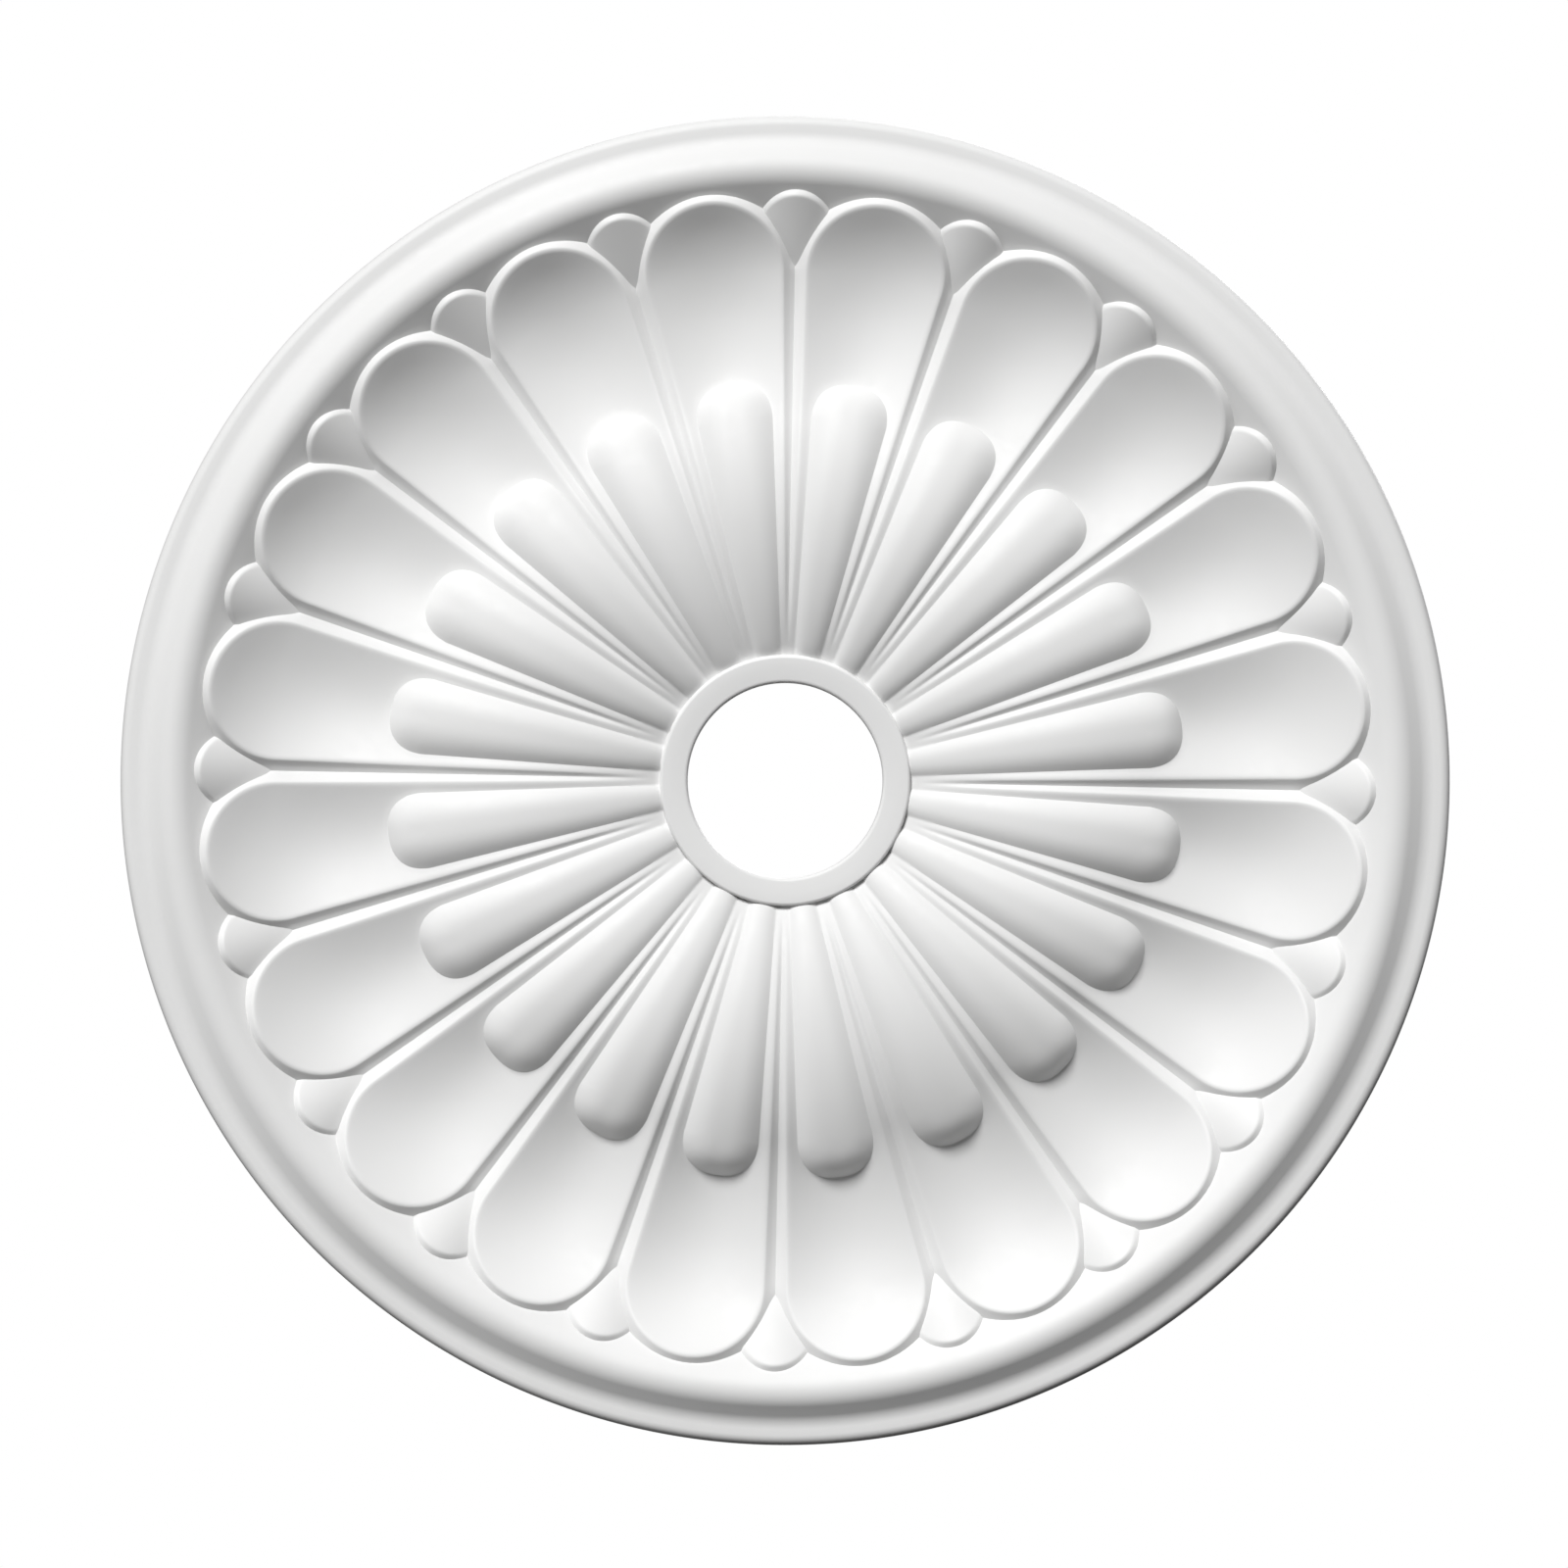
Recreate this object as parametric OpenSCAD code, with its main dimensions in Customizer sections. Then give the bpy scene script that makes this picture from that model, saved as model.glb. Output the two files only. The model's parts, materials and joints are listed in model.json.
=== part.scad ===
// Round ceiling rose moulded in one piece: twenty hollowed petals with raised inner lobes,
// small leaf tips between the petal ends, a collar round the centre hole and a rolled frame.
// It is drawn carved side up on its flat back, then turned over, as it hangs from a ceiling.

/* [Overall] */
// Outer diameter of the rose
rose_d = 680; // [560:5:820]
// Diameter of the centre hole
hole_d = 100; // [80:1:120]
// Number of petals
petals = 20; // [16:1:24]
// Thickness left under the deepest part of a petal
floor_t = 7.7; // [6:0.1:12]

/* [Frame moulding] */
// From the outer edge in to the crest of the roll
roll_in = 27; // [24:0.5:32]
// Height of the roll's crest above the petal tips
roll_rise = 2.6; // [2:0.1:4]
// Radius of the roll
roll_radius = 12.5; // [10:0.5:14]
// Steepest slope on both sides of the roll, in degrees
roll_slope = 37.5; // [32:0.5:42]
// Radius of the hollow between the roll and the lip
hollow_radius = 15; // [12:0.5:18]
// From the outer edge in to where the flat lip begins
lip_w = 6.5; // [5:0.5:8]
// Rounding of the lip's front edge
edge_round = 4; // [2:0.5:5]
// Bevel of the edge against the ceiling
back_bevel = 1; // [0.5:0.5:2]

/* [Collar] */
// Width of the flat ring round the hole
collar_w = 14; // [10:0.5:18]
// Height of the ring above the foot of the petals
collar_stand = 3.4; // [2:0.1:5]
// Rounding of the hole's front edge
hole_round = 2; // [1:0.5:3]
// Rounding of the ring's outer edge
collar_round = 2.5; // [1:0.5:3]

/* [Dome and dish] */
// From the hole's edge out to the top of the dome
dome_out = 84; // [75:1:95]
// Radius of the dome's inner side
dome_radius = 160; // [140:5:200]
// Rise of the dome above the lowest part of the petal rims
dome_rise = 19.7; // [15:0.1:24]
// From the petal tips in to the bottom of the dish
dish_in = 65.2; // [56:0.2:72]
// Rise of the petal tips above the lowest part of the petal rims
tip_rise = 17.6; // [14:0.1:21]

/* [Petals] */
// From the outer edge in to the petal tips
tip_in = 41.2; // [38:0.2:46]
// Gap between the rims of two petals, in degrees
rim_gap = 2.7; // [2:0.1:3.4]
// Depth of a petal's hollow below its rim at the bottom of the dish
scoop_depth = 6.1; // [4:0.1:6.2]
// From the hole's edge out to where the rims begin
rim_start = 38; // [30:1:50]
// Length over which a rim grows to its full height
rim_fade = 30; // [20:1:40]
// Rounding radius of the rims
rim_radius = 7; // [5.5:0.5:8]
// Straightness of a hollow's sides, 0.1 for a parabola and more for straighter sides
scoop_shape = 1.5; // [0.1:0.1:3]

/* [Lobes] */
// From the bottom of the dish in to the lobe tips
lobe_back = 28.4; // [26:0.2:40]
// Gap between a lobe's side and the petal's rim, in degrees
lobe_gap = 1.7; // [1.2:0.1:2.4]
// Height of a lobe at the collar
lobe_inner_h = 2.2; // [1.5:0.1:3]
// Height of a lobe at its round end
lobe_outer_h = 6.5; // [5:0.1:8]
// Fullness of a lobe's cross section, 2 for a parabola
lobe_full = 2.4; // [2:0.1:3]

/* [Leaf tips] */
// Distance of the leaf tips inside the petal tips
leaf_back = 0.8; // [0:0.1:3]
// Height of the leaf tips below the petal tips
leaf_drop = 0.4; // [0:0.1:2]
// Radius of a leaf tip's round end
leaf_radius = 16.6; // [13:0.2:18]
// Slope of a leaf tip's ridge, as a rise over a run
leaf_slope = 0.52; // [0.45:0.01:0.58]
// Radius of a leaf tip's cross section
leaf_crown = 34; // [28:1:45]
// Rounding radius of a leaf tip's edge
leaf_edge = 5; // [3.5:0.5:6]

/* [Hidden] */
rose_r = rose_d / 2;
hole_r = hole_d / 2;
collar_r = hole_r + collar_w;
pitch = 360 / petals;

// Rings that the carving is drawn from, by radius
dome_r = hole_r + dome_out;
tip_r = rose_r - tip_in;
dish_r = tip_r - dish_in;
rim_r = hole_r + rim_start;
roll_r = rose_r - roll_in;
lip_r = rose_r - lip_w;
turn_r = (dome_r + dish_r) / 2;

// Heights above the flat back
dish_h = floor_t + scoop_depth;
dome_h = dish_h + dome_rise;
tip_h = dish_h + tip_rise;
roll_h = tip_h + roll_rise;
leaf_h = tip_h - leaf_drop;
collar_h = dome_h - sag(dome_r - collar_r, dome_radius) + collar_stand;

// Plan of one petal and one lobe: a wedge closed by a circle that touches both its sides
petal_a = (pitch - rim_gap) / 2;
lobe_a = petal_a - lobe_gap;
lobe_tip = dish_r - lobe_back;
petal_c = tip_r / (1 + sin(petal_a));
petal_r = petal_c * sin(petal_a);
lobe_c = lobe_tip / (1 + sin(lobe_a));
lobe_r = lobe_c * sin(lobe_a);

// Arcs of the long section through a petal
turn_radius = chord_radius(dish_r - dome_r, dome_rise) / 2;
rim_arc = chord_radius(dish_in, tip_rise);
floor_arc = chord_radius(dish_in, tip_rise + scoop_depth);

// Roll and hollow of the frame, and the slopes that join them
roll_half = roll_radius * sin(roll_slope);
roll_foot_h = roll_h - roll_radius * (1 - cos(roll_slope));
hollow_run = hollow_radius * sin(roll_slope);
lip_h = roll_foot_h - (lip_r - roll_r - roll_half - hollow_run) * tan(roll_slope)
    - hollow_radius * (1 - cos(roll_slope));

// Back plate under the carving, and how far the frame's foot runs in towards the petal tips
plate_t = 5;
foot_run = 10;
foot_r = roll_r - roll_half - foot_run;

// The carving's body starts inside the plate and ends under the collar and the roll
carving_base = 2;
under_collar = 2;
under_roll = 2;
buried = 4;

// Steepest rim edge as a share of its radius, steps in an arc, and the grid of the carving
steepest = 0.87;
arc_steps = 8;
least_a = pitch / 6;
rim_ease = 8;
leaf_from = 0.3;
petal_cols = [0, 0.45, 0.78];
rim_cols = [0, 0.35, 0.7];
half_cols = len(petal_cols) + len(rim_cols);
rings = [
    collar_r - under_collar,
    collar_r + 0.3 * (dome_r - collar_r),
    collar_r + 0.65 * (dome_r - collar_r),
    dome_r,
    dome_r + 0.4 * (lobe_c - dome_r),
    dome_r + 0.75 * (lobe_c - dome_r),
    lobe_c + 0.15 * lobe_r,
    lobe_c + 0.7 * lobe_r,
    lobe_tip,
    dish_r - 0.45 * lobe_back,
    dish_r + 0.1 * dish_in,
    dish_r + 0.4 * dish_in,
    dish_r + 0.65 * dish_in,
    dish_r + 0.82 * dish_in,
    dish_r + 0.93 * dish_in,
    tip_r,
    tip_r + 0.62 * (roll_r - roll_half - tip_r),
    roll_r - roll_half + under_roll,
];

// Drop of an arc of the given radius at a distance from its level point
function sag(run, radius) = radius - sqrt(max(0, radius * radius - run * run));

// Radius of the arc that leaves level and climbs the rise over the run
function chord_radius(run, rise) = (run * run + rise * rise) / (2 * rise);

// Drop of a rounded edge, an arc at first and then straight down its steepest slope
function edge_drop(d, radius) =
    let (turn = radius * steepest)
    d < turn ? sag(d, radius) : sag(turn, radius) + (d - turn) * tan(asin(steepest));

// Height of a petal's rim at a radius: dome, dish and tip
function rim_h(r) =
    r <= dome_r ? dome_h - sag(dome_r - r, dome_radius)
    : r <= turn_r ? dome_h - sag(r - dome_r, turn_radius)
    : r <= dish_r ? dish_h + sag(dish_r - r, turn_radius)
    : dish_h + sag(r - dish_r, rim_arc);

// Height of a petal's hollow along its middle
function floor_h(r) =
    r <= dish_r ? rim_h(r) - scoop_depth * max(0, (r - rim_r) / (dish_r - rim_r))
    : floor_t + sag(r - dish_r, floor_arc);

// Half angle of a petal's outline at a radius
function outline_a(r) =
    r <= petal_c * cos(petal_a) ? petal_a
    : r >= tip_r ? 0
    : acos((r * r + petal_c * petal_c - petal_r * petal_r) / (2 * r * petal_c));

// Share of a hollow's depth that is left, from 0 at its middle to 1 at its rim
function bowl(v) = (sqrt(1 + pow(scoop_shape * v, 2)) - 1) / (sqrt(1 + pow(scoop_shape, 2)) - 1);

// Height of a lobe over the hollow, at a radius and an angle from the petal's middle
function lobe_h(r, a) =
    let (
        v = r <= lobe_c * cos(lobe_a) ? a / lobe_a : norm([r * cos(a) - lobe_c, r * sin(a)]) / lobe_r,
        along = (min(r, lobe_c) - collar_r) / (lobe_c - collar_r)
    )
    v >= 1 ? 0 : (lobe_inner_h + (lobe_outer_h - lobe_inner_h) * along) * (1 - pow(v, lobe_full));

// Height inside a petal's outline
function petal_h(r, a, edge) =
    let (low = floor_h(r))
    low + (rim_h(r) - low) * bowl(edge > 0 ? a / edge : 1) + lobe_h(r, a);

// Height of the rounded rim outside a petal's outline
function flank_h(r, a) =
    let (
        x = r * cos(a),
        y = r * sin(a),
        along = r * cos(a - petal_a),
        on_side = along <= petal_c * cos(petal_a),
        q = norm([x - petal_c, y]),
        away = on_side ? r * sin(a - petal_a) : q - petal_r,
        near = on_side ? along : norm([petal_c + (x - petal_c) * petal_r / q, y * petal_r / q]),
        grown = min(1, max(0, (r - rim_r + rim_ease) / rim_fade))
    )
    rim_h(min(near, tip_r)) - edge_drop(max(0, away), rim_radius) * grown;

// Height of a leaf tip, whose middle lies between two petals
function leaf_tip_h(r, a) =
    let (
        b = pitch / 2 - a,
        c = tip_r - leaf_back - leaf_radius,
        out = max(0, r * cos(b) - c),
        y = r * sin(b),
        q = norm([out, y]),
        k = q > leaf_radius ? leaf_radius / q : 1,
        x = min(r * cos(b), c) + out * k
    )
    leaf_h - leaf_slope * (c + leaf_radius - x) - pow(y * k, 2) / (2 * leaf_crown)
    - edge_drop(max(0, q - leaf_radius), leaf_edge);

// Height of the frame's inner slope
function slope_h(r) = roll_foot_h - (roll_r - roll_half - r) * tan(roll_slope);

// Height of the carving at a radius and an angle from the nearest petal's middle
function carving_h(r, a) =
    let (
        edge = outline_a(r),
        leaf = r > dish_r + leaf_from * dish_in ? leaf_tip_h(r, a) : 0,
        top = r <= tip_r && a <= edge ? petal_h(r, a, edge) : max(flank_h(r, a), leaf)
    )
    max(top, r > dish_r ? slope_h(r) - buried : 0);

// Angles of one half petal's grid lines at a radius, from its middle to the gap between petals
function half_angles(r) =
    let (edge = max(outline_a(r), least_a))
    concat([for (u = petal_cols) u * edge], [for (u = rim_cols) edge + u * (pitch / 2 - edge)]);

// One ring of points on the carving
function ring_points(r) =
    let (half = half_angles(r))
    [
        for (p = [0:petals - 1], j = [-half_cols:half_cols - 1])
            let (
                a = j < 0 ? (j == -half_cols ? pitch / 2 : half[-j]) : half[j],
                turn = (p + 0.5) * pitch + (j < 0 ? -a : a)
            )
            [r * cos(turn), r * sin(turn), carving_h(r, a)]
    ];

// The back plate, frame and collar as one profile, from the hole outwards
module profile() {
    hollow_h = lip_h + hollow_radius;
    polygon(concat(
        [[hole_r, 0]],
        [for (i = [0:arc_steps])
            let (a = 180 - 90 * i / arc_steps)
            [hole_r + hole_round * (1 + cos(a)), collar_h - hole_round * (1 - sin(a))]],
        [for (i = [0:arc_steps])
            let (a = 90 - 90 * i / arc_steps)
            [collar_r - collar_round * (1 - cos(a)), collar_h - collar_round * (1 - sin(a))]],
        [[collar_r, plate_t]],
        [[foot_r, plate_t], [foot_r, slope_h(foot_r)]],
        [for (i = [0:2 * arc_steps])
            let (a = roll_slope * (i / arc_steps - 1))
            [roll_r + roll_radius * sin(a), roll_h - roll_radius * (1 - cos(a))]],
        [for (i = [0:arc_steps])
            let (a = roll_slope * (1 - i / arc_steps))
            [lip_r - hollow_radius * sin(a), hollow_h - hollow_radius * cos(a)]],
        [for (i = [0:arc_steps])
            let (a = 90 - 90 * i / arc_steps)
            [rose_r - edge_round * (1 - cos(a)), lip_h - edge_round * (1 - sin(a))]],
        [[rose_r, back_bevel], [rose_r - back_bevel, 0]]
    ));
}

// The carved ring of petals, lobes and leaf tips, closed below inside the plate
module carving() {
    count = 2 * half_cols * petals;
    last = len(rings) - 1;
    levels = last + 2;
    inner_low = [for (p = ring_points(rings[0])) [p[0], p[1], carving_base]];
    outer_low = [for (p = ring_points(rings[last])) [p[0], p[1], carving_base]];
    tops = [for (r = rings) each ring_points(r)];
    strips = last + 3;
    polyhedron(
        points = concat(tops, outer_low, inner_low),
        faces = [
            for (i = [0:strips - 1], j = [0:count - 1])
                let (
                    next = (i + 1) % strips,
                    p = i * count + j,
                    q = i * count + (j + 1) % count,
                    s = next * count + j,
                    t = next * count + (j + 1) % count
                )
                each (j % (2 * half_cols) < half_cols ? [[p, q, s], [q, t, s]] : [[p, q, t], [p, t, s]])
        ],
        convexity = 10
    );
}

module ceiling_rose() {
    color([0.93, 0.93, 0.92])
        rotate([180, 0, 0])
            union() {
                rotate_extrude($fn = 180) profile();
                carving();
            }
}

ceiling_rose();
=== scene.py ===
"""A round moulded ceiling rose, carved side down, hung with its flat back against the ceiling at z = 0.

One half of one petal is drawn first, mirrored and copied round the centre. The frame, the collar, the hole
and the flat back are one profile that is spun round the same centre, and everything is joined into a single
shell. Sizes are in millimetres, and heights are measured down from the flat back to the carved face.
"""

import json
from math import acos, asin, atan, atan2, ceil, cos, degrees, hypot, pi, radians, sin, sqrt, tan

import bpy
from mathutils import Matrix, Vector
from mathutils.geometry import delaunay_2d_cdt


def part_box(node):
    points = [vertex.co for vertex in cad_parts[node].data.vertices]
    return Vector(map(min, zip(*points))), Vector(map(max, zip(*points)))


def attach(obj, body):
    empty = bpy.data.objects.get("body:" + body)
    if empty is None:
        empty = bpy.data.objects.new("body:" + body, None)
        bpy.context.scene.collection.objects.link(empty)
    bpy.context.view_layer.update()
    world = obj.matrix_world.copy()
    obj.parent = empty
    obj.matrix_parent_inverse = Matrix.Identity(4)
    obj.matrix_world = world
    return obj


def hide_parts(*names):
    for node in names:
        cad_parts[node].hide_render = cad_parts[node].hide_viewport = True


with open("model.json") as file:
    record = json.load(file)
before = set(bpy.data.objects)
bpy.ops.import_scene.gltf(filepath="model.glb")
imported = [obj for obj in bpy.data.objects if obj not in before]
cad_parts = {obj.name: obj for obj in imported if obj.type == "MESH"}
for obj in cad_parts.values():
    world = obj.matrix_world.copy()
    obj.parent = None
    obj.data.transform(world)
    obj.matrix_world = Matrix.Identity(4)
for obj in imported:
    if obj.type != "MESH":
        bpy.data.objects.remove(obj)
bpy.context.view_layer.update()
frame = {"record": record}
MM = 0.001

# ---------------------------------------------------------------- sizes taken from the frame
ROSE_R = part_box("ceiling_rose")[1].x / MM
mounts = {m["name"]: m for m in frame["record"]["mounts"]}
HOLE_R = mounts["centre_hole"]["dims"]["r_mm"]

# ---------------------------------------------------------------- sizes of the moulding, in millimetres
PETALS = 20
PITCH = 360 / PETALS
HALF = PITCH / 2

COLLAR_R = HOLE_R + 14
COLLAR_H = 20.8
COLLAR_ROUND = 1.5
COLLAR_DISH = 0.8
HOLE_ROUND = 2.0
PETAL_FOOT_R = COLLAR_R + 0.3

DOME_R = 134.0
DOME_H = 32.9
DOME_RADIUS = 160.0
DISH_R = 235.0
DISH_H = 13.8
TIP_R = ROSE_R - 41.8
TIP_H = 31.4
SCOOP = 6.1
SCOOP_FROM = 70.0
SCOOP_SHAPE = 1.0
FLOOR_RADIUS = 92.5
FLOOR_SLOPE = 0.72

PETAL_ANGLE = 7.65
RIM_FROM = 70.0
RIM_GROWTH = 35.0
RIM_ROUND = 5.8
TIP_ROUND = 3.2
RIM_INSET = 2.0
CREST_ROUND = 1.5
FLANK_SLOPE = 1.0
TIP_FLANK_SLOPE = 0.85

LOBE_ANGLE = 5.95
LOBE_TIP = 205.2
LOBE_INNER = 2.2
LOBE_OUTER = 10.7
LOBE_GROWTH = 1.0
LOBE_FULL = 2.4
LOBE_END_FULL = 3.6
LOBE_SOFT = 0.05
LOBE_BLUNT = 2.4

LEAF_C = 281.4
LEAF_R = 17.6
LEAF_H = 31.0
LEAF_SLOPE = 0.52
LEAF_CROWN = 34.0
LEAF_ROUND = 1.6
LEAF_STEEPEST = 0.6
LEAF_FROM = 255.0

ROLL_R = ROSE_R - 27.6
ROLL_H = 34.0
ROLL_RADIUS = 12.5
ROLL_SLOPE = radians(37.5)
LIP_R = ROSE_R - 8.3
LIP_H = 25.3
HOLLOW_RADIUS = 11.5
EDGE_ROUND = 5.0
BACK_BEVEL = 1.0
COLLAR_FOOT_R = COLLAR_R - 0.25

STEPS = 12
SIDE_ROWS = 68
TIP_ROWS = 28
LINES_FROM = PETAL_FOOT_R + 2.2

# where and how the shapes above run into each other
FOOT_INSET = 0.3
CREST_SHARE = 0.45
ROUND_TURN = 0.6
FLANK_TURN = 0.3
FLANK_EASE = 1.5
TIP_EASE = 60.0
COLLAR_MIDDLE = 0.6

# where a line is searched for, as distances or as places round the tip
HALVINGS = 40
CORNER_SEARCH = (1.3, 1.95)
FLANK_REACH = 14.0
LEAF_FOOT_SEARCH = (LEAF_R - 2, LEAF_R + 8)
LEAF_FOOT_TURN = radians(4)
LEAF_FOOT_TURNS = 30

# rows, rings and shares that the drawing's points follow
CREST_SHARES = (0.5, 1)
FLANK_SHARES = (0.33, 0.66)
LOBE_SHARES = (0, 0.18, 0.36, 0.52, 0.67, 0.8, 0.9, 1)
HOLLOW_SHARES = (0.35, 0.7)
LOBE_RINGS = (0.12, 0.26, 0.4, 0.53, 0.65, 0.76, 0.86, 0.93, 1, 1.08)
LOBE_SPACING = 2.3
LOBE_CLEAR = 1.14
LEAF_RINGS = (2.5, 5, 7.5, 10, 12, 14, 15.2, 16.1, 16.9, 17.6, 18.4, 19.2, 20.2)
LEAF_SPACING = 2.2
LEAF_ROWS = (-21, -18, -15, -12, -9, -6, -3)
LEAF_ACROSS = (0, 2, 4, 6, 8, 10, 12)
SLOPE_RINGS = (297.0, 299.5, 302.0, 304.2)
BACK_RINGS = (280, 190, 110)
LAST_ROW = 9
GAP_SPACING = 0.6
MIDDLE_SPACING = 0.5

# how far points stay clear of the lines beside them
BORDER_CLEAR = 0.5
ROW_CLEAR = 0.4
SIDE_CLEAR = 1.2
END_OVERLAP = 0.8
LEAF_OVER_RIM = 0.3
LEAF_OVER_SLOPE = 0.15
SLOPE_OVER_REST = 0.35

# steps in the profile's arcs
ROLL_STEPS = 12
HOLLOW_STEPS = 6
EDGE_STEPS = 6
HOLE_STEPS = 5
COLLAR_STEPS = 5

MERGE = 0.01 * MM
JOIN = 0.02 * MM
CREASE = 32

# ---------------------------------------------------------------- paint, light and camera
PAINT_LOW = (0.79, 0.79, 0.785)
PAINT_HIGH = (0.81, 0.81, 0.807)
PAINT_ROUGHNESS = (0.5, 0.6)
PAINT_SPECULAR = 0.35
FLOOR_PAINT = (0.8, 0.8, 0.79)
FLOOR_ROUGHNESS = (0.75, 0.9)
FLOOR_Z = -6.5
FLOOR_HALF = 6.0
KEY_ELEVATION = radians(45)
KEY_SIDE = (-0.3665, -0.930)
KEY_STRENGTH = 3.5
KEY_SOFTNESS = 20
SIDE_ELEVATION = radians(18)
SIDE_STRENGTH = 0.42
SIDE_SOFTNESS = 40
BACK_TOWARDS = (0.5, -0.7, 1.1)
BACK_STRENGTH = 2.6
BACK_SOFTNESS = 30
ROOM_LIGHT = 0.012
LENS = 250
CAMERA_PLACE = (-0.00055, 0.0018, -5.591)
CAMERA_ROLL = -1.1


# ---------------------------------------------------------------- arcs and the petal's plan
def sag(run, radius):
    """Drop of an arc at a distance from its level point."""
    return radius - sqrt(max(0.0, radius * radius - run * run))


def arc_of(run, rise):
    """Radius of the arc that leaves level and climbs the rise over the run."""
    return (run * run + rise * rise) / (2 * rise)


def cap(angle, tip):
    """Centre and radius of the circle that closes a wedge of that half angle and reaches the tip."""
    centre = tip / (1 + sin(radians(angle)))
    return centre, centre * sin(radians(angle))


def polar(r, angle):
    """The point at a radius and an angle."""
    return (r * cos(angle), r * sin(angle))


def smooth(x):
    """Eases from 0 to 1."""
    x = min(1.0, max(0.0, x))
    return x * x * (3 - 2 * x)


PETAL_C, PETAL_CAP = cap(PETAL_ANGLE, TIP_R)
LOBE_C, LOBE_CAP = cap(LOBE_ANGLE, LOBE_TIP)
TURN_R = (DOME_R + DISH_R) / 2
TURN_RADIUS = arc_of(DISH_R - DOME_R, DOME_H - DISH_H) / 2
RIM_RADIUS = arc_of(TIP_R - DISH_R, TIP_H - DISH_H)
ROLL_HALF = ROLL_RADIUS * sin(ROLL_SLOPE)
ROLL_FOOT_H = ROLL_H - sag(ROLL_HALF, ROLL_RADIUS)
FRAME_R = ROLL_R - ROLL_HALF


def rim_height(r):
    """Height of a petal's rim: dome, dish and tip."""
    if r <= DOME_R:
        return DOME_H - sag(DOME_R - r, DOME_RADIUS)
    if r <= TURN_R:
        return DOME_H - sag(r - DOME_R, TURN_RADIUS)
    if r <= DISH_R:
        return DISH_H + sag(DISH_R - r, TURN_RADIUS)
    return DISH_H + sag(min(r, TIP_R) - DISH_R, RIM_RADIUS)


def floor_height(r):
    """Height of a petal's hollow along its middle."""
    if r <= DISH_R:
        short = min(1.0, (DISH_R - r) / (DISH_R - SCOOP_FROM))
        return rim_height(r) - SCOOP * (1 - short * short)
    run = r - DISH_R
    bend = FLOOR_RADIUS * sin(atan(FLOOR_SLOPE))
    return DISH_H - SCOOP + sag(min(run, bend), FLOOR_RADIUS) + FLOOR_SLOPE * max(0.0, run - bend)


def beyond_outline(x, y):
    """How far a point is outside a petal's outline, and the radius and the turn of the nearest point on it.

    The turn is 1 along the straight sides and falls to 0 at the tip.
    """
    a = radians(PETAL_ANGLE)
    along = x * cos(a) + y * sin(a)
    if along <= PETAL_C * cos(a):
        return y * cos(a) - x * sin(a), along, 1.0
    q = max(1e-6, hypot(x - PETAL_C, y))
    near = hypot(PETAL_C + (x - PETAL_C) * PETAL_CAP / q, y * PETAL_CAP / q)
    return q - PETAL_CAP, near, atan2(y, x - PETAL_C) / (pi / 2 + a)


def mix(a, b, share):
    """A value that eases from a to b as the share goes from 0 to 1."""
    return a + (b - a) * smooth(share)


def rim_round(turn):
    """Rounding of the rim on its inner side, tighter round the tip."""
    return mix(RIM_ROUND, TIP_ROUND, (1 - turn) / ROUND_TURN)


def rim_growth(r):
    """Share of its full size that a rim has at a radius."""
    return min(1.0, max(0.0, (r - RIM_FROM) / RIM_GROWTH))


def rim_inset(r):
    """Width of the rim's rounding on its inner side."""
    return FOOT_INSET + (RIM_INSET - FOOT_INSET) * rim_growth(r)


def round_over(d, radius, steepest):
    """Drop of a rounded edge that ends in a straight slope."""
    turn = radius * sin(atan(steepest))
    return sag(min(d, turn), radius) + steepest * max(0.0, d - turn)


def crest_width(gap):
    """Width of the rim's rounding on its outer side."""
    return min(CREST_ROUND * sin(atan(FLANK_SLOPE)), CREST_SHARE * gap)


def flank_drop(d, near, turn):
    """Drop of the rim's outer side: a tight crest, then a slope that eases off towards the gap's middle."""
    gap = near * tan(radians(HALF - PETAL_ANGLE))
    first = crest_width(gap)
    by_tip = smooth((1 - turn) / FLANK_TURN)
    slope = FLANK_SLOPE + (TIP_FLANK_SLOPE - FLANK_SLOPE) * by_tip
    if d < first:
        return slope * d * d / (2 * first)
    reach = FLANK_EASE * (gap - first) + TIP_EASE * by_tip
    run = min(d - first, reach)
    return slope * (first / 2 + run - run * run / (2 * reach))


def rim_surface(x, y):
    """Height of the rounded rim, inside and outside a petal's outline."""
    d, near, turn = beyond_outline(x, y)
    drop = flank_drop(d, near, turn) if d > 0 else sag(-d, rim_round(turn))
    return rim_height(near) - drop * rim_growth(near)


def inset_angle(r, inset):
    """Half angle, in degrees, of the petal's outline moved in by the inset."""
    side = PETAL_ANGLE - degrees(asin(inset / r))
    c, q = PETAL_C, PETAL_CAP - inset
    if r <= c * cos(radians(PETAL_ANGLE)):
        return side
    share = (r * r + c * c - q * q) / (2 * r * c)
    return min(side, degrees(acos(share))) if share < 1 else 0.0


def bowl(v):
    """Share of a hollow's depth, from 0 at its middle to 1 at its rim."""
    k = SCOOP_SHAPE
    return (sqrt(1 + (k * v) ** 2) - 1) / (sqrt(1 + k * k) - 1)


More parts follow.
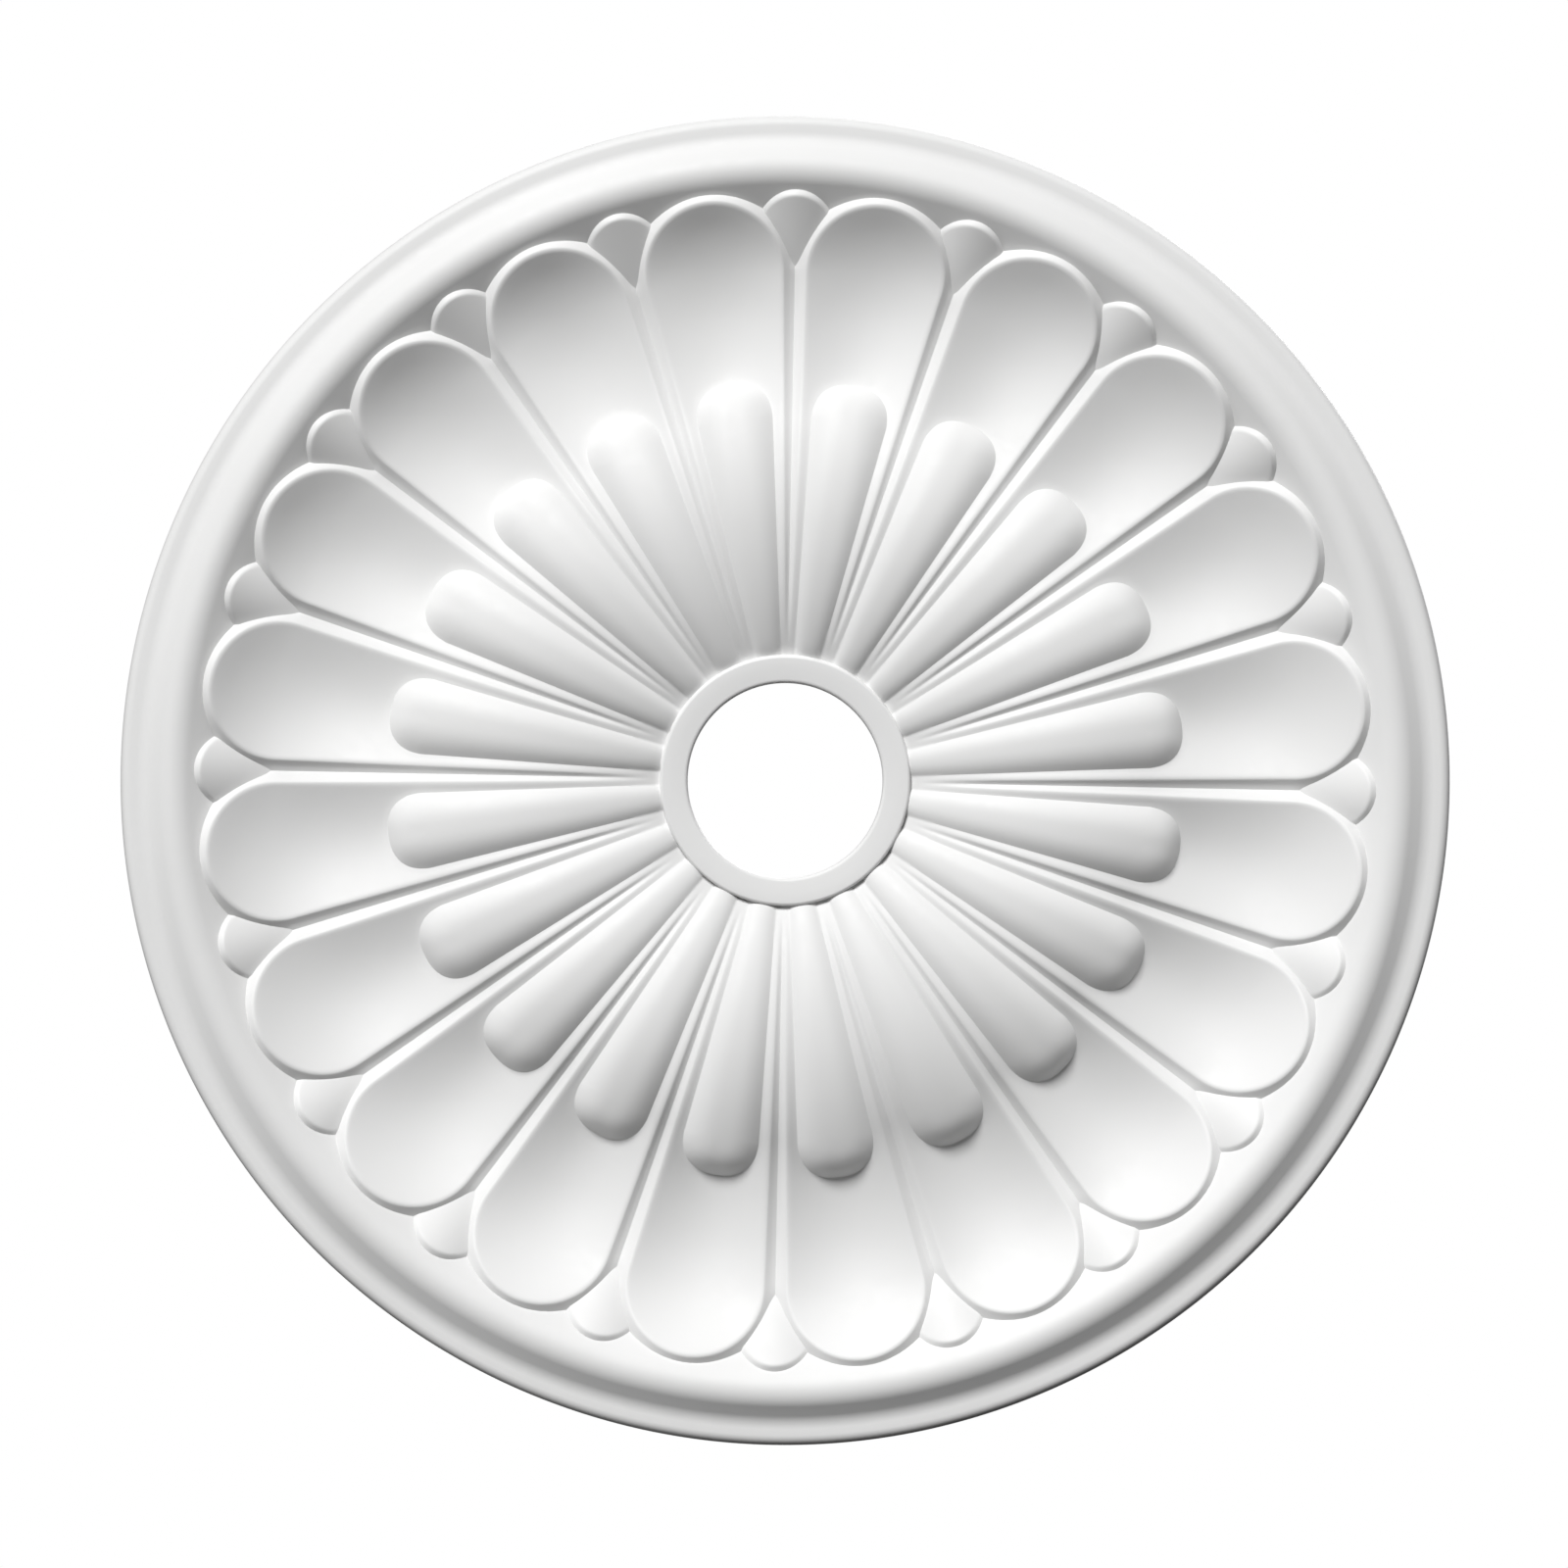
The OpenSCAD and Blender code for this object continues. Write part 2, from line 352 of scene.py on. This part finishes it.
def lobe_height(x, y):
    """Height of the raised lobe over the hollow."""
    r = hypot(x, y)
    edge = radians(LOBE_ANGLE)
    full = LOBE_FULL
    if x <= LOBE_C:
        v = atan2(y, x) / edge
    else:
        out, side = ((x - LOBE_C) / LOBE_CAP) ** LOBE_BLUNT, (y / (LOBE_C * tan(edge))) ** LOBE_BLUNT
        v = (out + side) ** (1 / LOBE_BLUNT)
        full += (LOBE_END_FULL - LOBE_FULL) * out / (out + side)
    q = 1 - v**full
    soft = (q + sqrt(q * q + LOBE_SOFT**2)) / 2 - LOBE_SOFT**2 / 3
    along = max(0.0, min(r, LOBE_C) - COLLAR_R) / (LOBE_C - COLLAR_R)
    return (LOBE_INNER + (LOBE_OUTER - LOBE_INNER) * along**LOBE_GROWTH) * max(0.0, soft)


def rim_top(near, turn):
    """Height at the inner edge of the rim's rounding."""
    return rim_height(near) - sag(rim_inset(near), rim_round(turn)) * rim_growth(near)


def trough_height(x, y):
    """Height of the hollow between the petal's two straight sides."""
    r = hypot(x, y)
    _, near, turn = beyond_outline(x, y)
    edge = inset_angle(r, rim_inset(near))
    v = min(1.0, degrees(atan2(y, x)) / edge)
    bottom = floor_height(r)
    return bottom + (rim_top(near, turn) - bottom) * bowl(v)


def spoon_height(x, y):
    """Height of the hollow round its tip, where the section along the middle turns into the one across."""
    last = pi / 2 + radians(PETAL_ANGLE)
    angle = atan2(y, x - PETAL_C)
    near, turn = beyond_outline(x, y)[1:]
    reach = PETAL_CAP - RIM_INSET
    v = min(1.0, hypot(x - PETAL_C, y) / reach)
    bottom = floor_height(PETAL_C)
    tilt = floor_height(PETAL_C + 1) - bottom

    def lift(level, share, direction):
        return level - bottom - tilt * share * reach * cos(direction)

    def along(share):
        return lift(floor_height(PETAL_C + share * reach), share, 0)

    def across(share):
        px, py = polar(share * reach, last)
        return lift(trough_height(PETAL_C + px, py), share, last)

    mixed = mix(along(v) / along(1), across(v) / across(1), turn)
    return bottom + tilt * v * reach * cos(angle) + lift(rim_top(near, turn), 1, angle) * mixed


def petal_height(x, y):
    """Height of a petal: rim, hollow and lobe."""
    d, near, turn = beyond_outline(x, y)
    if d > -rim_inset(near):
        return rim_surface(x, y) + lobe_height(x, y)
    hollow = spoon_height(x, y) if turn < 1 else trough_height(x, y)
    return hollow + lobe_height(x, y)


def leaf_height(x, y):
    """Height of the small leaf tip between two petals; here its own middle lies along x."""
    out = max(0.0, x - LEAF_C)
    q = hypot(out, y)
    turn = atan2(abs(y), out) if q > 0 else 0.0
    slope = LEAF_SLOPE * cos(turn) - LEAF_R * sin(turn) ** 2 / LEAF_CROWN
    start = LEAF_R - LEAF_ROUND * sin(atan(slope))

    def face(px, py):
        return LEAF_H - LEAF_SLOPE * (LEAF_C + LEAF_R - px) - py * py / (2 * LEAF_CROWN)

    if q <= start:
        return face(x, y)
    k = start / q
    px = LEAF_C + out * k if x > LEAF_C else x
    crest = face(px, y * k) + LEAF_ROUND * (1 - cos(atan(slope)))
    return crest - round_over(abs(q - LEAF_R), LEAF_ROUND, LEAF_STEEPEST)


def slope_height(r):
    """Height of the frame's inner slope."""
    return ROLL_FOOT_H - (ROLL_R - ROLL_HALF - r) * tan(ROLL_SLOPE)


def turned(x, y):
    """A point seen from the middle of the leaf tip instead of the petal's middle."""
    a = radians(HALF) - atan2(y, x)
    return hypot(x, y) * cos(a), hypot(x, y) * sin(a)


def beside(x, y):
    """Height of what lies next to a petal: a leaf tip or the frame's slope."""
    r = hypot(x, y)
    if r < LEAF_FROM:
        return -1.0
    return max(leaf_height(*turned(x, y)), slope_height(r))


def height(x, y):
    """Height of the carved face, in a half petal whose middle lies along x."""
    d = beyond_outline(x, y)[0]
    return petal_height(x, y) if d <= 0 else max(petal_height(x, y), beside(x, y))


# ---------------------------------------------------------------- plan of half a petal
def crossing(near, far, above):
    """Distance at which a condition that holds near by stops holding."""
    if above(far):
        return far
    for _ in range(HALVINGS):
        middle = (near + far) / 2
        if above(middle):
            near = middle
        else:
            far = middle
    return near


def station(s):
    """An outline point, its outward normal and the middle line's point that faces it.

    s goes from 0 to 1 up the side, and from 1 to 2 round the tip.
    """
    a = radians(PETAL_ANGLE)
    straight = PETAL_C * cos(a)
    if s <= 1:
        r = LINES_FROM + (straight - LINES_FROM) * s
        return (r * cos(a), r * sin(a)), (-sin(a), cos(a)), r * cos(a)
    angle = (pi / 2 + a) * (2 - s)
    normal = (cos(angle), sin(angle))
    point = (PETAL_C + PETAL_CAP * normal[0], PETAL_CAP * normal[1])
    start = straight * cos(a)
    return point, normal, start + (TIP_R - LAST_ROW - start) * (s - 1)


def flank_foot(s):
    """Where the rim's outer side meets its neighbour."""
    point, normal, _ = station(s)
    w = flank_width(point, normal)
    return point[0] + w * normal[0], point[1] + w * normal[1]


def leaf_corner():
    """The place round the tip where petal, leaf tip and frame meet."""

    def by_leaf(s):
        x, y = flank_foot(s)
        return leaf_height(*turned(x, y)) > slope_height(hypot(x, y))

    return crossing(*CORNER_SEARCH, by_leaf)


def stations():
    """Places along the outline, one of them at the leaf tip's corner."""
    corner = leaf_corner()
    places = [i / SIDE_ROWS for i in range(SIDE_ROWS)]
    first = max(2, round((corner - 1) * TIP_ROWS))
    places += [1 + (corner - 1) * i / first for i in range(first)]
    rest = TIP_ROWS - first
    places += [corner + (2 - corner) * i / rest for i in range(rest + 1)]
    return [station(s) for s in places], first + SIDE_ROWS


def flank_width(point, normal):
    """How far the rim's outer side reaches before it meets its neighbour."""

    def above(d):
        x, y = point[0] + d * normal[0], point[1] + d * normal[1]
        if atan2(y, x) > radians(HALF):
            return False
        return rim_surface(x, y) >= beside(x, y)

    return crossing(0.0, FLANK_REACH, above)


class Plan:
    """Points and lines of a drawing that is then filled with triangles."""

    def __init__(self):
        self.points, self.lines = [], []

    def line(self, points):
        """Adds points and the line that runs through them."""
        start = len(self.points)
        self.points += points
        self.lines += [(start + i, start + i + 1) for i in range(len(points) - 1)]

    def dots(self, points):
        """Adds loose points."""
        self.points += points


def half_petal_plan():
    """The half petal from its middle line to the middle of the gap, with its surface's edges as lines."""
    plan = Plan()
    half = radians(HALF)
    edge = radians(LOBE_ANGLE)
    rows, corner = stations()
    widths = [flank_width(p, n) for p, n, _ in rows]
    rim = [p for p, _, _ in rows]
    foot = [(p[0] + w * n[0], p[1] + w * n[1]) for (p, n, _), w in zip(rows, widths)]
    inset = [(p[0] - k * n[0], p[1] - k * n[1]) for p, n, _ in rows for k in [rim_inset(hypot(*p))]]
    plan.line(rim)
    plan.line(inset)
    plan.line(foot)

    # the rounded rim, by shares of its width on both sides of the outline
    for (p, n, _), w, q in zip(rows, widths, inset):
        first = crest_width(w)
        outs = [first * u for u in CREST_SHARES] + [first + (w - first) * u for u in FLANK_SHARES]
        plan.dots([(p[0] + out * n[0], p[1] + out * n[1]) for out in outs])
        plan.dots([((p[0] + q[0]) / 2, (p[1] + q[1]) / 2)])

    # the hollow and the straight part of the lobe, row by row
    side = []
    share = 0.0
    for (_, _, axis), q in zip(rows, inset):
        if axis < LOBE_C + LOBE_CAP:
            share = tan(edge) * axis / (q[1] - tan(edge) * (q[0] - axis))
        columns = [share * u for u in LOBE_SHARES]
        columns += [share + (1 - share) * u for u in HOLLOW_SHARES]
        row = [(axis + (q[0] - axis) * u, q[1] * u) for u in columns]
        if axis < LOBE_C - SIDE_CLEAR:
            side.append(row[len(LOBE_SHARES) - 1])
        plan.dots([p for p in row if hypot(q[0] - p[0], q[1] - p[1]) > ROW_CLEAR and not near_lobe_end(p)])

    # the lobe's sides and its round end
    plan.line(side + [(LOBE_C, LOBE_C * tan(edge))])
    for v in LOBE_RINGS:
        count = max(3, ceil(v * LOBE_CAP * (pi / 2) / LOBE_SPACING))
        for i in range(count + 1):
            x, y = abs(cos(pi / 2 * i / count)), sin(pi / 2 * i / count)
            k = v / (x**LOBE_BLUNT + y**LOBE_BLUNT) ** (1 / LOBE_BLUNT)
            plan.dots([(LOBE_C + k * x * LOBE_CAP, k * y * LOBE_C * tan(edge))])

    # the leaf tip and the foot of the frame's slope
    for ring in leaf_plan(half):
        plan.dots([p for p in ring if is_leaf(*p)])
    plan.line(leaf_foot(half) + [foot[corner]])
    for r in SLOPE_RINGS:
        for i in range(STEPS * 2 + 1):
            x, y = polar(r, half * i / (STEPS * 2))
            clear = slope_height(r) - max(rim_surface(x, y), leaf_height(*turned(x, y)))
            if clear > SLOPE_OVER_REST and beyond_outline(x, y)[0] > 0:
                plan.dots([(x, y)])
    return plan


def near_lobe_end(p):
    """True where the rings round the lobe's end take over from the rows."""
    out, side = abs(p[0] - LOBE_C) / LOBE_CAP, p[1] / (LOBE_C * tan(radians(LOBE_ANGLE)))
    return p[0] > LOBE_C - END_OVERLAP and out**LOBE_BLUNT + side**LOBE_BLUNT < LOBE_CLEAR**LOBE_BLUNT


def leaf_point(q, turn, half):
    """A point at a distance and a turn from the centre of the leaf tip's round end."""
    x, y = LEAF_C + q * cos(turn), q * sin(turn)
    r, a = hypot(x, y), half - atan2(y, x)
    return (r * cos(a), r * sin(a))


def is_leaf(x, y):
    """True where the leaf tip shows clear of the petal and the frame."""
    if beyond_outline(x, y)[0] <= 0 or hypot(x, y) < LEAF_FROM:
        return False
    own = leaf_height(*turned(x, y))
    return own > rim_surface(x, y) + LEAF_OVER_RIM and own > slope_height(hypot(x, y)) + LEAF_OVER_SLOPE


def leaf_plan(half):
    """Rings of points over the leaf tip."""
    rings = []
    for q in LEAF_RINGS:
        count = max(2, ceil(q * pi / 2 / LEAF_SPACING))
        rings.append([leaf_point(q, pi / 2 * i / count, half) for i in range(count + 1)])
    for back in LEAF_ROWS:
        rings.append([leaf_point(0, 0, half)])
        r = LEAF_C + back
        rings.append([polar(r, half - across / r) for across in LEAF_ACROSS])
    return rings


def leaf_foot(half):
    """The line where the leaf tip runs into the frame's slope, from its middle to the petal's rim."""
    line = []
    for i in range(LEAF_FOOT_TURNS):
        turn = LEAF_FOOT_TURN * i

        def above(q):
            x, y = leaf_point(q, turn, half)
            return leaf_height(*turned(x, y)) >= slope_height(hypot(x, y))

        point = leaf_point(crossing(*LEAF_FOOT_SEARCH, above), turn, half)
        if rim_surface(*point) > slope_height(hypot(*point)) - LEAF_OVER_RIM:
            break
        line.append(point)
    return line


def new_object(name, verts, edges, faces):
    """An object of the given mesh, in the scene."""
    mesh = bpy.data.meshes.new(name)
    mesh.from_pydata(verts, edges, faces)
    made = bpy.data.objects.new(name, mesh)
    bpy.context.scene.collection.objects.link(made)
    return made


def half_petal():
    """The carved surface of half a petal as a mesh object, its middle along X."""
    plan = half_petal_plan()
    half = radians(HALF)
    fixed = [polar(PETAL_FOOT_R, half * i / STEPS) for i in range(STEPS + 1)]
    middle = sorted({round(p[0], 6) for p in plan.points if abs(p[1]) < 1e-6})
    gap = sorted({round(hypot(*p), 6) for p in plan.points if abs(atan2(p[1], p[0]) - half) < 1e-6})
    inside = (PETAL_FOOT_R + BORDER_CLEAR, FRAME_R - BORDER_CLEAR)
    gap = thinned([r for r in gap if inside[0] < r < inside[1]], GAP_SPACING)
    middle = thinned([r for r in middle if inside[0] < r < inside[1]], MIDDLE_SPACING)
    outer = [polar(FRAME_R, half * i / STEPS) for i in range(STEPS + 1)]
    border = fixed + [polar(r, half) for r in gap] + outer[::-1] + [(x, 0.0) for x in reversed(middle)]
    count = len(border)
    points = border + [held(p, half) for p in plan.points]
    edges = [(i, (i + 1) % count) for i in range(count)]
    edges += [(a + count, b + count) for a, b in plan.lines]
    drawn = delaunay_2d_cdt([Vector(p) for p in points], edges, [], 1, 1e-3)
    verts = [(p.x * MM, p.y * MM, -height(p.x, max(0.0, p.y)) * MM) for p in drawn[0]]
    return new_object("ceiling_rose_moulded", verts, [], [list(f) for f in drawn[2]])


def thinned(values, gap):
    """The values, without those that follow another too closely."""
    found = []
    for v in values:
        if not found or v - found[-1] > gap:
            found.append(v)
    return found


def held(p, half):
    """A point kept inside the half petal."""
    return polar(hypot(*p), min(half, max(0.0, atan2(p[1], p[0]))))


# ---------------------------------------------------------------- profile of what is plain all round
def arc(centre_r, centre_h, radius, start, end, count):
    """Points of an arc in the profile, angles in radians from straight out towards the carved side."""
    turns = [start + (end - start) * i / count for i in range(count + 1)]
    return [(centre_r + radius * cos(t), centre_h + radius * sin(t)) for t in turns]


def profile():
    """The profile from the foot of the frame, out over the edge, along the back and up through the hole."""
    level = pi / 2
    line = arc(ROLL_R, ROLL_H - ROLL_RADIUS, ROLL_RADIUS, level + ROLL_SLOPE, level - ROLL_SLOPE, ROLL_STEPS)
    line += arc(LIP_R, LIP_H + HOLLOW_RADIUS, HOLLOW_RADIUS, -level - ROLL_SLOPE, -level, HOLLOW_STEPS)
    line += arc(ROSE_R - EDGE_ROUND, LIP_H - EDGE_ROUND, EDGE_ROUND, level, 0, EDGE_STEPS)
    line += [(ROSE_R, BACK_BEVEL), (ROSE_R - BACK_BEVEL, 0)]
    line += [(r, 0) for r in BACK_RINGS] + [(HOLE_R, 0)]
    line += arc(HOLE_R + HOLE_ROUND, COLLAR_H - COLLAR_DISH - HOLE_ROUND, HOLE_ROUND, pi, level, HOLE_STEPS)
    crown_r = COLLAR_R - COLLAR_ROUND
    middle = (HOLE_R + HOLE_ROUND + crown_r) / 2
    line.append((middle, COLLAR_H - COLLAR_DISH * COLLAR_MIDDLE))
    foot = acos((COLLAR_FOOT_R - crown_r) / COLLAR_ROUND)
    line += arc(crown_r, COLLAR_H - COLLAR_ROUND, COLLAR_ROUND, level, foot, COLLAR_STEPS)
    pairs = zip(line, [(0, 0)] + line)
    return [p for p, before in pairs if hypot(p[0] - before[0], p[1] - before[1]) * MM > MERGE]


# ---------------------------------------------------------------- joining everything into one shell
def only(obj):
    """Selects this object and nothing else."""
    bpy.ops.object.select_all(action="DESELECT")
    obj.select_set(True)
    bpy.context.view_layer.objects.active = obj


def edit(obj):
    """Opens this object's mesh for editing, with all of it selected."""
    only(obj)
    bpy.ops.object.mode_set(mode="EDIT")
    bpy.ops.mesh.select_all(action="SELECT")


def object_mode():
    """Closes the mesh that was open for editing."""
    bpy.ops.object.mode_set(mode="OBJECT")


def carved_ring():
    """The half petal mirrored, turned to its place and copied round the centre."""
    ring = half_petal()
    only(ring)
    mirror = ring.modifiers.new("mirror", "MIRROR")
    mirror.use_axis = (False, True, False)
    mirror.use_clip = True
    mirror.merge_threshold = MERGE
    bpy.ops.object.modifier_apply(modifier=mirror.name)
    edit(ring)
    bpy.ops.transform.rotate(value=radians(HALF), orient_axis="Z", center_override=(0, 0, 0))
    copies = {"steps": PETALS - 1, "angle": radians(360 - PITCH), "dupli": True}
    bpy.ops.mesh.spin(**copies, center=(0, 0, 0), axis=(0, 0, 1))
    bpy.ops.mesh.select_all(action="SELECT")
    bpy.ops.mesh.remove_doubles(threshold=JOIN)
    object_mode()
    return ring


def plain_ring():
    """The profile spun round the centre, in as many steps as the carved ring has points on its edges."""
    line = [(r * MM, 0, -h * MM) for r, h in profile()]
    ring = new_object("plain_ring", line, [(i, i + 1) for i in range(len(line) - 1)], [])
    edit(ring)
    bpy.ops.mesh.spin(steps=PETALS * 2 * STEPS, angle=2 * pi, center=(0, 0, 0), axis=(0, 0, 1))
    bpy.ops.mesh.select_all(action="SELECT")
    bpy.ops.mesh.remove_doubles(threshold=MERGE)
    object_mode()
    return ring


def whole_rose():
    """The carved ring and the plain ring joined, with the narrow gaps between them bridged."""
    piece = carved_ring()
    other = plain_ring()
    only(piece)
    other.select_set(True)
    bpy.ops.object.join()
    edit(piece)
    bpy.ops.mesh.remove_doubles(threshold=JOIN)
    bpy.ops.mesh.select_all(action="DESELECT")
    bpy.ops.mesh.select_mode(type="EDGE")
    bpy.ops.mesh.select_non_manifold(
        extend=False,
        use_wire=False,
        use_boundary=True,
        use_multi_face=False,
        use_non_contiguous=False,
        use_verts=False,
    )
    bpy.ops.mesh.bridge_edge_loops()
    bpy.ops.mesh.select_all(action="SELECT")
    bpy.ops.mesh.normals_make_consistent(inside=False)
    object_mode()
    bpy.ops.object.shade_smooth_by_angle(angle=radians(CREASE))
    return piece


# ---------------------------------------------------------------- paint
def linked(socket, value, tree):
    """Connects another node's output to a socket, or sets a plain value there."""
    if hasattr(value, "is_output"):
        tree.links.new(value, socket)
    else:
        socket.default_value = value


def add_node(tree, kind, **inputs):
    """A new node with its inputs connected or set."""
    node = tree.nodes.new(kind)
    for name, value in inputs.items():
        linked(node.inputs[name.replace("_", " ")], value, tree)
    return node


def spread(tree, value, low, high):
    """A noise value between 0.3 and 0.7 spread over a range."""
    given = {"Value": value, "From_Min": 0.3, "From_Max": 0.7}
    return add_node(tree, "ShaderNodeMapRange", **given, To_Min=low, To_Max=high).outputs["Result"]


def moulded_white():
    """Smooth factory-painted white with a faint skin: broad unevenness, small ripples and fine grain."""
    material = bpy.data.materials.new("moulded_white")
    material.use_nodes = True
    tree = material.node_tree
    shader = tree.nodes["Principled BSDF"]
    place = tree.nodes.new("ShaderNodeTexCoord").outputs["Object"]

    def noise(scale, detail):
        return add_node(tree, "ShaderNodeTexNoise", Vector=place, Scale=scale, Detail=detail).outputs["Fac"]

    broad = noise(9.0, 2.0)
    ripple = noise(160.0, 2.0)
    grain = noise(1400.0, 3.0)
    shade = spread(tree, broad, 0.0, 1.0)
    tint = tree.nodes.new("ShaderNodeMix")
    tint.data_type = "RGBA"
    linked(tint.inputs["Factor"], shade, tree)
    tint.inputs["A"].default_value = (*PAINT_LOW, 1)
    tint.inputs["B"].default_value = (*PAINT_HIGH, 1)
    tree.links.new(tint.outputs["Result"], shader.inputs["Base Color"])
    tree.links.new(spread(tree, ripple, *PAINT_ROUGHNESS), shader.inputs["Roughness"])
    shader.inputs["Specular IOR Level"].default_value = PAINT_SPECULAR
    waves = add_node(tree, "ShaderNodeBump", Strength=0.12, Distance=0.0003, Height=ripple)
    fine = add_node(tree, "ShaderNodeBump", Strength=0.1, Distance=0.00008, Height=grain)
    tree.links.new(waves.outputs["Normal"], fine.inputs["Normal"])
    tree.links.new(fine.outputs["Normal"], shader.inputs["Normal"])
    return material


piece = whole_rose()
piece.data.materials.append(moulded_white())
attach(piece, "root")
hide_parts("ceiling_rose")


# ---------------------------------------------------------------- floor, light and camera
def plain_material(name, colour):
    """An even, dull surface with a faint change of gloss."""
    material = bpy.data.materials.new(name)
    material.use_nodes = True
    tree = material.node_tree
    shader = tree.nodes["Principled BSDF"]
    place = tree.nodes.new("ShaderNodeTexCoord").outputs["Object"]
    noise = add_node(tree, "ShaderNodeTexNoise", Vector=place, Scale=3.0, Detail=3.0).outputs["Fac"]
    shader.inputs["Base Color"].default_value = (*colour, 1)
    tree.links.new(spread(tree, noise, *FLOOR_ROUGHNESS), shader.inputs["Roughness"])
    return material


signs = ((-1, -1), (1, -1), (1, 1), (-1, 1))
corners = [(FLOOR_HALF * x, FLOOR_HALF * y, FLOOR_Z) for x, y in signs]
floor = new_object("floor", corners, [], [[0, 1, 2, 3]])
floor.data.materials.append(plain_material("floor_pale", FLOOR_PAINT))
floor.visible_shadow = False
floor.visible_diffuse = False
floor.visible_glossy = False


def sun(name, towards, strength, softness):
    """A soft light from one side; towards points at the light."""
    lamp = bpy.data.lights.new(name, "SUN")
    lamp.energy = strength
    lamp.angle = radians(softness)
    made = bpy.data.objects.new(name, lamp)
    made.rotation_euler = (-Vector(towards)).to_track_quat("-Z", "Y").to_euler()
    bpy.context.scene.collection.objects.link(made)


key_level = [c * cos(KEY_ELEVATION) for c in KEY_SIDE]
sun("key", (*key_level, -sin(KEY_ELEVATION)), KEY_STRENGTH, KEY_SOFTNESS)
for name, turn in (("left_fill", 1), ("right_fill", -1)):
    across = (-KEY_SIDE[1] * turn * cos(SIDE_ELEVATION), KEY_SIDE[0] * turn * cos(SIDE_ELEVATION))
    sun(name, (*across, -sin(SIDE_ELEVATION)), SIDE_STRENGTH, SIDE_SOFTNESS)
sun("back_fill", BACK_TOWARDS, BACK_STRENGTH, BACK_SOFTNESS)

world = bpy.data.worlds.new("studio")
bpy.context.scene.world = world
world.use_nodes = True
tree = world.node_tree
tree.nodes.clear()
white = add_node(tree, "ShaderNodeBackground", Color=(1, 1, 1, 1), Strength=1.0)
dim = add_node(tree, "ShaderNodeBackground", Color=(1, 1, 1, 1), Strength=ROOM_LIGHT)
path = tree.nodes.new("ShaderNodeLightPath")
both = add_node(tree, "ShaderNodeMixShader", Fac=path.outputs["Is Camera Ray"])
tree.links.new(dim.outputs[0], both.inputs[1])
tree.links.new(white.outputs[0], both.inputs[2])
tree.links.new(both.outputs[0], tree.nodes.new("ShaderNodeOutputWorld").inputs["Surface"])
bpy.context.scene.view_settings.view_transform = "Standard"

lens = bpy.data.cameras.new("camera")
lens.lens = LENS
camera = bpy.data.objects.new("camera", lens)
camera.location = CAMERA_PLACE
camera.rotation_euler = (pi, 0, radians(CAMERA_ROLL))
bpy.context.scene.collection.objects.link(camera)
bpy.context.scene.camera = camera
